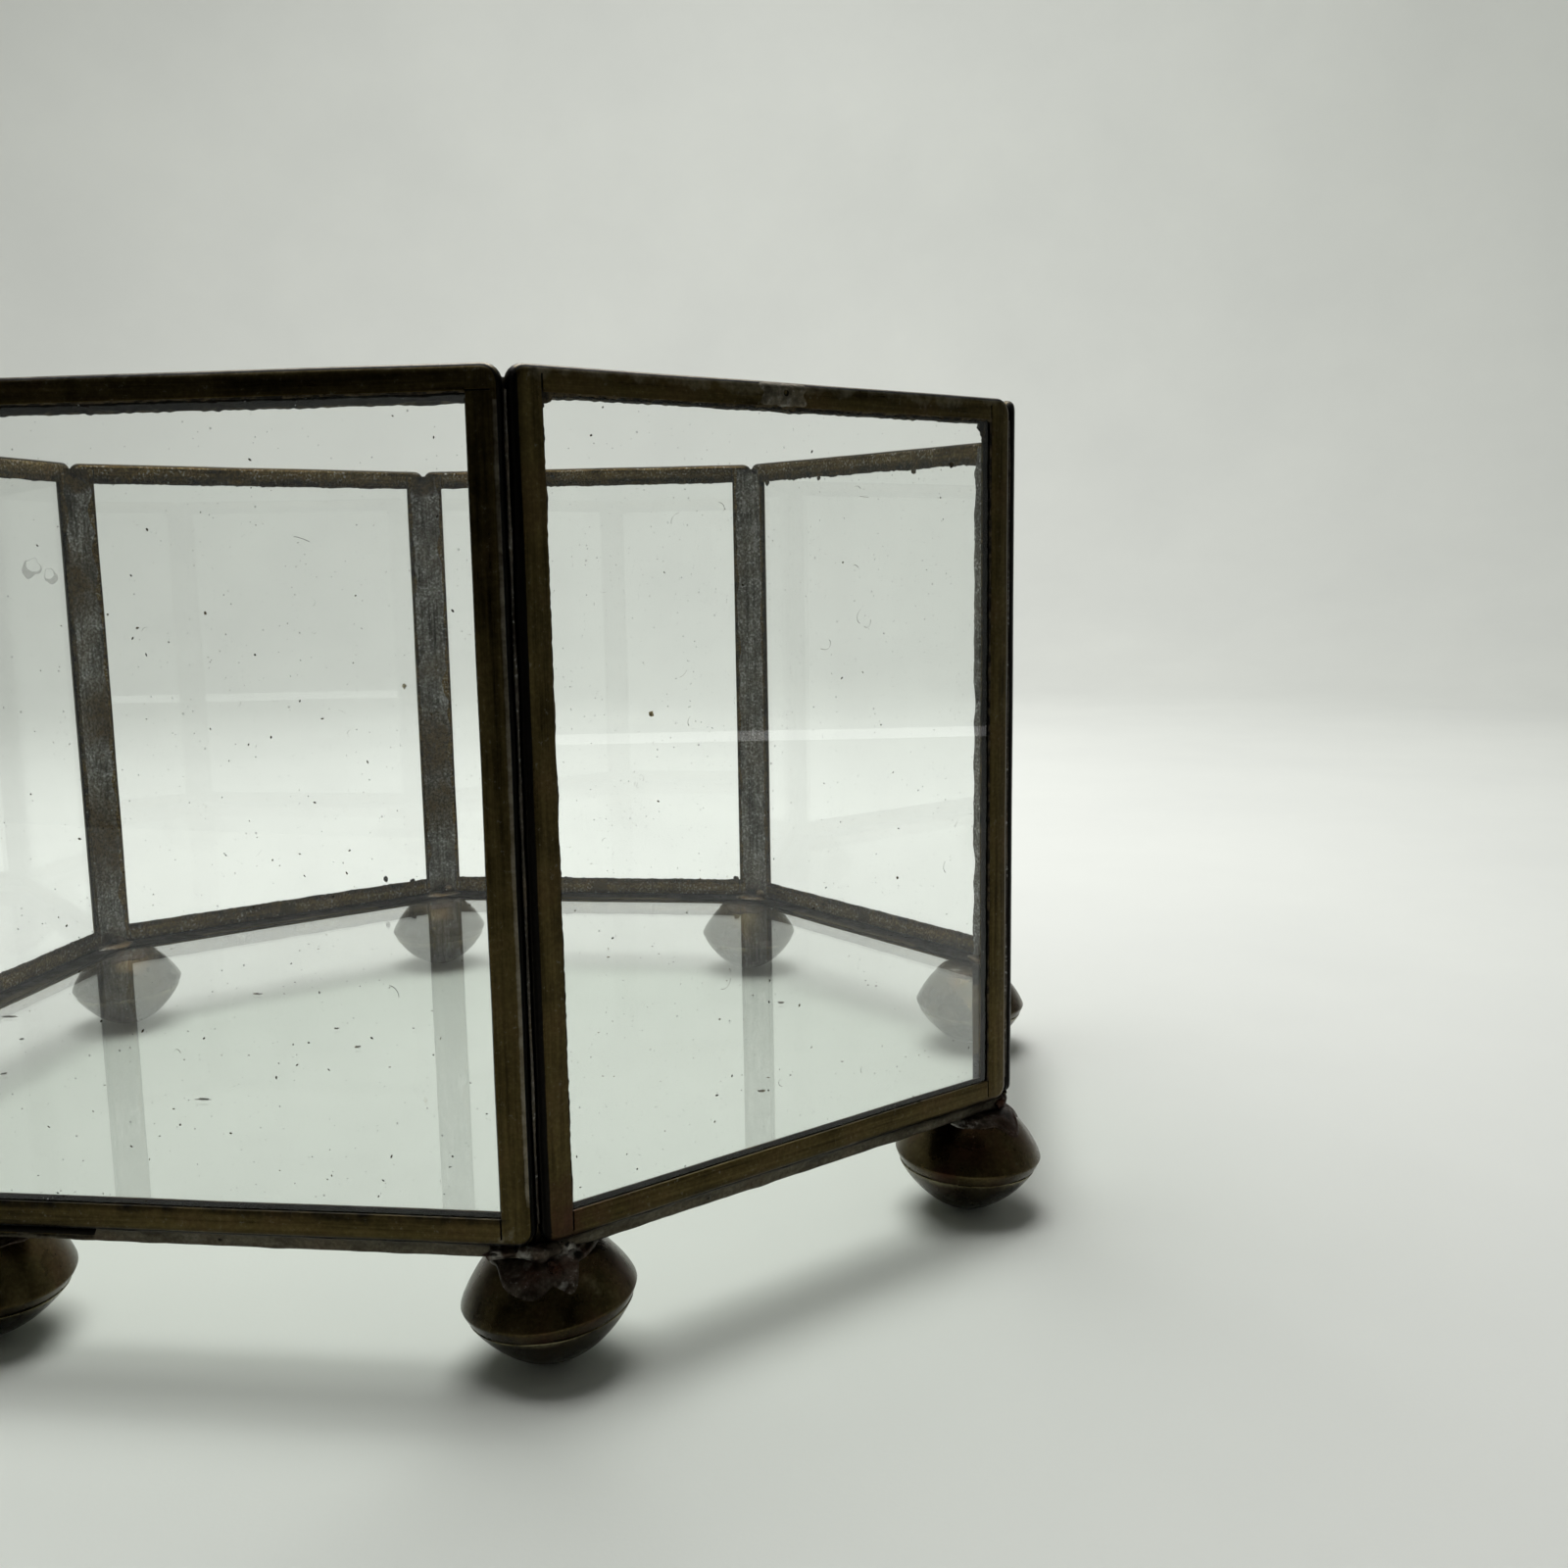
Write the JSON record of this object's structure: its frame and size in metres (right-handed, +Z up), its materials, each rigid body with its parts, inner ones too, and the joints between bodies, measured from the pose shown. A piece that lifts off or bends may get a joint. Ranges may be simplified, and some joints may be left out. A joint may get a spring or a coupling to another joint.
{
  "type": "glass terrarium vessel",
  "caption": "Open octagonal display vessel: clear glass panes wrapped in dark aged brass channel, soldered corners, a glass floor and hollow bead feet.",
  "frame": {"origin": "on the surface it stands on, under the middle of the octagon", "axes": "+Z up through the open mouth; -Y is the outward face of wall 1; walls are numbered counter-clockwise seen from above"},
  "size_m": [0.1494, 0.1494, 0.0885],
  "materials": {
    "channel_brass": "aged, dark brown patina, satin",
    "floor_channel_brass": "aged, tinned grey along its edge",
    "foot_brass": "aged, dark olive brown, satin",
    "pane_glass": "clear, fine scratches and dust",
    "solder": "dull grey soft solder, mottled"
  },
  "bodies": {
    "root": {"wall_frame_1": "channel_brass", "wall_pane_1": "pane_glass", "foot_lower_shell_1": "foot_brass", "foot_upper_shell_1": "foot_brass", "foot_solder_1": "solder", "corner_solder_1": "solder", "wall_frame_2": "channel_brass", "wall_pane_2": "pane_glass", "foot_lower_shell_2": "foot_brass", "foot_upper_shell_2": "foot_brass", "foot_solder_2": "solder", "corner_solder_2": "solder", "wall_frame_3": "channel_brass", "wall_pane_3": "pane_glass", "foot_lower_shell_3": "foot_brass", "foot_upper_shell_3": "foot_brass", "foot_solder_3": "solder", "corner_solder_3": "solder", "wall_frame_4": "channel_brass", "wall_pane_4": "pane_glass", "foot_lower_shell_4": "foot_brass", "foot_upper_shell_4": "foot_brass", "foot_solder_4": "solder", "corner_solder_4": "solder", "wall_frame_5": "channel_brass", "wall_pane_5": "pane_glass", "foot_lower_shell_5": "foot_brass", "foot_upper_shell_5": "foot_brass", "foot_solder_5": "solder", "corner_solder_5": "solder", "wall_frame_6": "channel_brass", "wall_pane_6": "pane_glass", "foot_lower_shell_6": "foot_brass", "foot_upper_shell_6": "foot_brass", "foot_solder_6": "solder", "corner_solder_6": "solder", "wall_frame_7": "channel_brass", "wall_pane_7": "pane_glass", "foot_lower_shell_7": "foot_brass", "foot_upper_shell_7": "foot_brass", "foot_solder_7": "solder", "corner_solder_7": "solder", "wall_frame_8": "channel_brass", "wall_pane_8": "pane_glass", "foot_lower_shell_8": "foot_brass", "foot_upper_shell_8": "foot_brass", "foot_solder_8": "solder", "corner_solder_8": "solder", "frame_seam_solder": "solder", "groove_solder": "solder", "base_solder": "solder", "floor_frame": "floor_channel_brass", "floor_pane": "pane_glass"}
  },
  "joints": []
}
